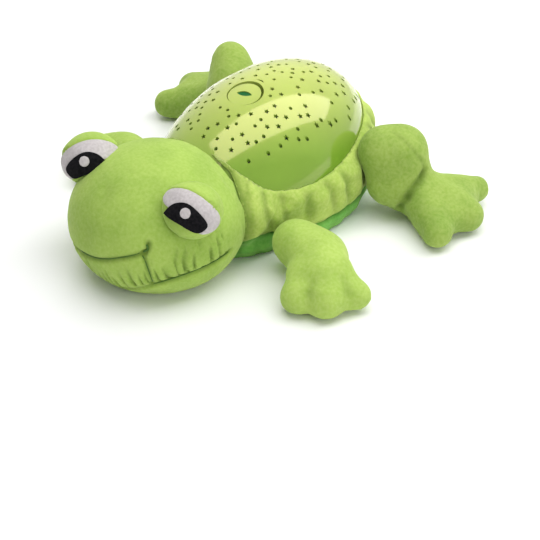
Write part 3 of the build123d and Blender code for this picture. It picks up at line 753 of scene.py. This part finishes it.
thread_green = moulded("thread_green", (0.07, 0.17, 0.02), roughness=0.7, texture=0.3)
thread_lift = 0.0001
evenings = 6
for name, line, radius in (
    ("mouth_stitching", mouth, 0.00045),
    ("mouth_corner_stitching", hook, 0.0007),
    ("dart_stitching", dart, 0.0004),
    ("chin_stitching", chin, 0.0004),
):
    laid = lay_on(head, line[::2], thread_lift)
    for evening in range(evenings):
        laid[1:-1] = 0.25 * laid[:-2] + 0.5 * laid[1:-1] + 0.25 * laid[2:]
    sewn = thread(name, laid, radius)
    dress(sewn, thread_green)
    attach(sewn, "projector_in_plush")

# ---------------------------------------------------------------- eyes
# Each eye is a stuffed ball of plush sewn to the head's upper corner. A white felt oval, a black
# felt pupil cut off flat below and a small round glint lie on it, under a green lid that stands
# proud of them.
both_sides = ((1, "left"), (-1, "right"))
ball_center = np.array((0.051, -0.102, 0.074))
ball_radii = np.array((0.022, 0.022, 0.020))
right_eye_turn = math.radians(64)

# Outlines of the felts, as directions from the left ball's middle.
white_rim = [
    (-0.82, -0.44, 0.37), (-0.82, -0.33, 0.48), (-0.43, -0.32, 0.84), (0.14, -0.23, 0.96),
    (0.68, -0.07, 0.73), (0.97, 0.22, 0.06), (0.95, 0.09, -0.30), (0.84, -0.44, -0.32),
    (0.64, -0.76, 0.06), (0.12, -0.90, 0.42), (-0.44, -0.79, 0.43),
]
pupil_rim = [
    (-0.30, -0.93, 0.22), (0.02, -0.77, 0.64), (0.46, -0.57, 0.68), (0.94, -0.33, 0.10),
    (0.89, -0.44, -0.14), (0.76, -0.63, -0.18), (0.36, -0.93, 0.10),
]
glint_way = Vector((0.46, -0.76, 0.46))
glint_reach = Vector((0.14, 0.085, 0.0))
glint_corners = 8
glint_rim = [
    glint_way.normalized() + Matrix.Rotation(step * math.tau / glint_corners, 3, glint_way) @ glint_reach
    for step in range(glint_corners)
]

# Rings of a felt from its middle out: share of the way to the rim, and share of the thickness.
felt_rings = (
    (0.0, 1.0), (0.3, 1.0), (0.6, 1.0), (0.85, 1.0), (0.95, 0.95), (0.99, 0.7), (1.0, 0.3), (1.0, -0.5)
)


def closed_rim(rim, count):
    """Directions of a smooth closed outline."""
    rim = [tuple(Vector(corner).normalized()) for corner in rim]
    line = smooth_line([*rim, rim[0]], count + 1)[:-1]
    return line / np.linalg.norm(line, axis=1)[:, None]


def middle_of(rim):
    """Direction of an outline's middle."""
    hub = rim.mean(axis=0)
    return hub / np.linalg.norm(hub)


def eye_turn(side):
    """Turn of an eye's felts about the upright: the right eye looks further inwards."""
    return np.array(Matrix.Rotation(0 if side > 0 else -right_eye_turn, 3, "Z"))


def felt_patch(name, rim, side, level, thickness):
    """A felt shape that lies on the eye's ball, its edge turned down."""
    rim = closed_rim(rim, 72) * (side, 1, 1) @ eye_turn(side)
    hub = middle_of(rim)
    center = ball_center * (side, 1, 1)
    shape = bmesh.new()
    grid = []
    for share, height in felt_rings:
        ring = []
        for direction in rim:
            way = hub + share * (direction - hub)
            way /= np.linalg.norm(way)
            radius = 1 / np.linalg.norm(way / ball_radii)
            spot = center + way * (radius + level + thickness * height)
            ring.append(shape.verts.new(spot))
            if share == 0:
                break
        grid.append(ring)
    count = len(rim)
    for step in range(count):
        after = (step + 1) % count
        shape.faces.new((grid[0][0], grid[1][step], grid[1][after]))
        for inner, outer in zip(grid[1:-1], grid[2:]):
            shape.faces.new((inner[step], outer[step], outer[after], inner[after]))
    shape.faces.new(list(reversed(grid[-1])))
    bmesh.ops.recalc_face_normals(shape, faces=shape.faces)
    mesh = bpy.data.meshes.new(name)
    shape.to_mesh(mesh)
    shape.free()
    return link(name, mesh)


def raise_lid(lid, side):
    """Lift the plush in a soft welt over the upper edge of the white felt."""
    welt_height = 0.0019
    welt_width = 0.007
    welt_step = 0.0012
    ball_reach = 0.021
    points = points_of(lid)
    way = (points - ball_center * (side, 1, 1)) @ eye_turn(side).T * (side, 1, 1)
    way /= np.linalg.norm(way, axis=1)[:, None]
    rim = closed_rim(white_rim, 90)
    edge = rim[np.argmin(np.linalg.norm(way[:, None] - rim[None], axis=2), axis=1)]
    gap = np.linalg.norm(way - edge, axis=1) * ball_reach
    hub = middle_of(rim)
    inside = (way @ hub) > (edge @ hub)
    upper = rise(edge[:, 2] - 0.15, 0.3) * np.clip(1.2 + 1.4 * edge[:, 1], 0, 1)
    lift = np.where(inside, np.maximum(0, 1 - gap / welt_step), bell(gap, welt_width)) * upper * welt_height
    place_points(lid, points + normals_of(lid) * lift[:, None])


def felt(name, dark, light, roughness, **sockets):
    """Felt with short matted fibres."""
    material = material_with(name, roughness, **sockets)
    paint(material, colour_by(material, noise_of(material, 500, 4), dark, light))
    roughen(material, (noise_of(material, 1400, 4), 0.0003, 0.4))
    return material


felt_white = felt("felt_white", (0.5, 0.46, 0.46), (0.6, 0.56, 0.56), roughness=0.9, Sheen_Weight=0.2)
felt_black = felt("felt_black", (0.004, 0.004, 0.005), (0.012, 0.011, 0.013), roughness=0.95,
                  Sheen_Weight=0.02, Specular_IOR_Level=0.1)
plush_lid = plush("plush_lid", (0.3, 0.47, 0.07), (0.39, 0.57, 0.1), (0.5, 0.62, 0.18))

# Each felt with its outline, its level over the ball, its thickness and its look.
eye_felts = (
    ("eye_white", white_rim, 0.0, 0.0009, felt_white),
    ("eye_pupil", pupil_rim, 0.0009, 0.0008, felt_black),
    ("eye_glint", glint_rim, 0.0017, 0.0006, felt_white),
)
for side, word in both_sides:
    lid = fuse(f"eyelid_{word}", [copy_of(f"eye_mound_{word}")], voxel=0.0025, smoothing=4)
    refine(lid, 1)
    raise_lid(lid, side)
    shade_smooth(lid)
    dress(lid, plush_lid)
    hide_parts(f"eye_mound_{word}")
    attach(lid, "projector_in_plush")
    for name, rim, level, thickness, look in eye_felts:
        patch = felt_patch(f"{name}_felt_{word}", rim, side, level, thickness)
        shade_smooth(patch)
        dress(patch, look)
        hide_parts(f"{name}_{word}")
        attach(patch, "projector_in_plush")

# ---------------------------------------------------------------- front legs
# Stuffed plush legs, sewn to the body's sides at their roots. Each ends in a broad paw of three
# rounded toes that lies flat, and shallow grooves part the toes of the left one.
leg_voxel = 0.0035
leg_cap = 0.002
leg_growth = 0.02
leg_pressure = 4.0
leg_gap = 0.0005
shoulder = (0.080, -0.032, 0.023)
shoulder_reach = 0.050
shoulder_shift = (0.005, 0.006, 0.002)

# Middles and radii of the filling that rounds the wrist, and the lines between the toes.
wrist_filling = {
    "left": (
        ((0.125, -0.036, 0.025), (0.016, 0.013, 0.013)),
        ((0.1096, -0.0535, 0.019), (0.014, 0.013, 0.0145)),
    ),
    "right": (),
}
toe_gaps = {
    "left": (
        ((0.130, -0.070, 0.022), (0.127, -0.060, 0.028), (0.124, -0.051, 0.030)),
        ((0.150, -0.048, 0.020), (0.143, -0.046, 0.026), (0.134, -0.043, 0.029)),
    ),
    "right": (),
}


def stuff_leg(leg):
    """Fill a leg's skin until it is tight, held where it lies on the floor, and round it."""
    on_floor = points_of(leg)[:, 2] < contact
    stuff(leg, leg_pressure, leg_growth, leg_cap, on_floor.astype(float))
    refine(leg, 1)


plush_leg = plush("plush_leg", (0.33, 0.5, 0.08), (0.44, 0.62, 0.12), (0.55, 0.66, 0.22))
for side, word in both_sides:
    filling = [ellipsoid(center, radii) for center, radii in wrist_filling[word]]
    leg = fuse(f"front_leg_plush_{word}", [copy_of(f"front_leg_{word}"), *filling], leg_voxel, smoothing=8)
    points = points_of(leg)
    mirror = np.array((side, 1, 1))
    from_shoulder = np.linalg.norm(points - mirror * shoulder, axis=1)
    near_shoulder = np.clip(1 - from_shoulder / shoulder_reach, 0, 1)
    place_points(leg, points + near_shoulder[:, None] * (mirror * shoulder_shift))
    stuff_leg(leg)
    # Grooves part the toes, with a little painted shade in them.
    for gap in toe_gaps[word]:
        press_line(leg, smooth_line(gap, 12), depth=0.0014, width=0.0035, shade=0.25)
    keep_off_floor(leg, leg_gap)
    shade_smooth(leg)
    dress(leg, plush_leg)
    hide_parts(f"front_leg_{word}")
    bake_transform(leg)

# ---------------------------------------------------------------- rear legs
# Stuffed plush legs sewn to the body's sides. The round knees are drawn up beside it, with a seam
# over the knee and a deep crease at the ankle, and the three-toed feet lie flat.
ankles = {"left": (0.104, 0.091, 0.019), "right": (-0.109, 0.095, 0.019)}
ankle_radii = (0.0196, 0.0196, 0.0183)

# Middles and radii of the filling in the palms and below the knee.
palms = {
    "left": [
        ((0.133, 0.098, 0.015), (0.016, 0.022, 0.012)),
    ],
    "right": [
        ((-0.138, 0.102, 0.015), (0.016, 0.022, 0.012)),
        ((-0.134, 0.084, 0.014), (0.018, 0.018, 0.012)),
    ],
}
shin_filling = (
    ((0.0905, 0.0885, 0.036), (0.0208, 0.0208, 0.025)),
    ((0.087, 0.080, 0.028), (0.021, 0.021, 0.019)),
    ((0.084, 0.079, 0.040), (0.0195, 0.0195, 0.020)),
)
knee_seam = (
    (0.0847, 0.0791, 0.0714), (0.0944, 0.0786, 0.0694), (0.104, 0.0801, 0.0629),
    (0.1086, 0.0846, 0.054), (0.1096, 0.0891, 0.0453),
)
ankle_crease = (
    (0.1099, 0.0877, 0.0426), (0.1095, 0.0824, 0.0377), (0.1083, 0.0771, 0.0317),
    (0.107, 0.0719, 0.0255), (0.1014, 0.0723, 0.0156),
)
plush_thigh = plush("plush_thigh", (0.22, 0.36, 0.05), (0.34, 0.48, 0.09), (0.46, 0.56, 0.18))
for side, word in both_sides:
    ankle = ankles[word]
    mirror = np.array((side, 1, 1))
    filling = [ellipsoid(ankle, ankle_radii)]
    filling += [ellipsoid(mirror * center, radii) for center, radii in shin_filling]
    filling += [ellipsoid(center, radii) for center, radii in palms[word]]
    rear = fuse(
        f"rear_leg_plush_{word}",
        [copy_of(f"rear_thigh_{word}"), copy_of(f"rear_foot_{word}"), *filling],
        leg_voxel, smoothing=5,
    )
    stuff_leg(rear)
    # A seam over the knee and a crease at the ankle are drawn in, with painted shade down in them, darkest
    # in the crease.
    press_line(rear, smooth_line(knee_seam, 40) * mirror, depth=0.0005, width=0.0014, shade=0.3)
    press_line(rear, smooth_line(ankle_crease, 40) * mirror, depth=0.0036, width=0.0032, shade=1.0)
    keep_off_floor(rear, leg_gap)
    shade_smooth(rear)
    dress(rear, plush_thigh)
    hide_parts(f"rear_thigh_{word}", f"rear_foot_{word}")
    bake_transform(rear)

# ---------------------------------------------------------------- studio floor
# Round sheet of pale matt board that the toy lies on. It is wide enough to reach past the toy's
# shadows on all sides.
floor_radius = 0.8
floor_drop = 0.0002
floor_mesh = bpy.data.meshes.new("studio_floor")
floor_shape = bmesh.new()
bmesh.ops.create_circle(floor_shape, cap_ends=True, segments=128, radius=floor_radius)
floor_shape.to_mesh(floor_mesh)
floor_shape.free()
floor = link("studio_floor", floor_mesh)
floor.location = (0, 0, -floor_drop)
floor_white = material_with("floor_white", 0.95)
board = colour_by(floor_white, noise_of(floor_white, 3, 2), (0.965, 0.965, 0.97), (0.97, 0.97, 0.975))
paint(floor_white, board)
dress(floor, floor_white)


# ---------------------------------------------------------------- studio light
# One broad softbox hangs overhead behind the toy's left side. Two weak fills, from the left and
# from behind on the right, open the shadows and leave no reflections.
def softbox(name, place, turn, size, power):
    """A rectangular studio light, turned from facing straight down."""
    light = bpy.data.lights.new(name, "AREA")
    light.shape = "RECTANGLE"
    light.size, light.size_y = size
    light.energy = power
    lamp = bpy.data.objects.new(name, light)
    bpy.context.scene.collection.objects.link(lamp)
    lamp.location = place
    lamp.rotation_mode = "QUATERNION"
    lamp.rotation_quaternion = turn
    return lamp


overhead_turn = Quaternion((0, 0, 1), math.radians(-22))
softbox("overhead_softbox", (0.46, 0.79, 1.2), overhead_turn, size=(0.85, 3.0), power=25)
for name, place, target, size, power in (
    ("side_fill", (2.0, -0.2, 0.9), (0, 0, 0.03), (1.4, 1.0), 12),
    ("rear_fill", (-1.3, 0.9, 0.9), (-0.05, 0.03, 0.03), (1.2, 1.2), 11),
):
    turn = (Vector(target) - Vector(place)).to_track_quat("-Z", "Y")
    fill = softbox(name, place, turn, size, power)
    fill.visible_glossy = False

# The camera sees the backdrop as plain white, glossy surfaces see part of that, and the toy is lit
# by the weaker sky.
sky_strength = 0.3
backdrop_in_gloss = 0.6
world = bpy.data.worlds.new("studio_world")
bpy.context.scene.world = world
world.use_nodes = True
nodes = world.node_tree.nodes
links = world.node_tree.links
sky = nodes["Background"]
sky.inputs["Color"].default_value = (1, 1, 1, 1)
sky.inputs["Strength"].default_value = sky_strength
backdrop = nodes.new("ShaderNodeBackground")
backdrop.inputs["Color"].default_value = (1, 1, 1, 1)
path = nodes.new("ShaderNodeLightPath")
choose = nodes.new("ShaderNodeMixShader")
either = nodes.new("ShaderNodeMath")
either.operation = "MULTIPLY_ADD"
either.inputs[1].default_value = backdrop_in_gloss
links.new(path.outputs["Is Glossy Ray"], either.inputs[0])
links.new(path.outputs["Is Camera Ray"], either.inputs[2])
links.new(either.outputs["Value"], choose.inputs["Fac"])
links.new(sky.outputs["Background"], choose.inputs[1])
links.new(backdrop.outputs["Background"], choose.inputs[2])
links.new(choose.outputs["Shader"], nodes["World Output"].inputs["Surface"])

# ---------------------------------------------------------------- camera
# A long lens looks down on the toy from its front left. It is aimed a little to the left of the
# toy's middle and below it.
azimuth = math.radians(42)
elevation = math.radians(35)
distance = 1.3
look_at = Vector((0.05, -0.02, -0.02))
back = Vector((
    math.sin(azimuth) * math.cos(elevation),
    -math.cos(azimuth) * math.cos(elevation),
    math.sin(elevation),
))
camera = bpy.data.objects.new("camera", bpy.data.cameras.new("camera"))
bpy.context.scene.collection.objects.link(camera)
camera.data.sensor_width = 36
camera.data.lens = 114.24
camera.data.clip_start = 0.05
camera.data.clip_end = 50
camera.location = look_at + back * distance
camera.rotation_mode = "QUATERNION"
camera.rotation_quaternion = (-back).to_track_quat("-Z", "Y")
bpy.context.scene.camera = camera
bpy.context.scene.view_settings.view_transform = "Standard"
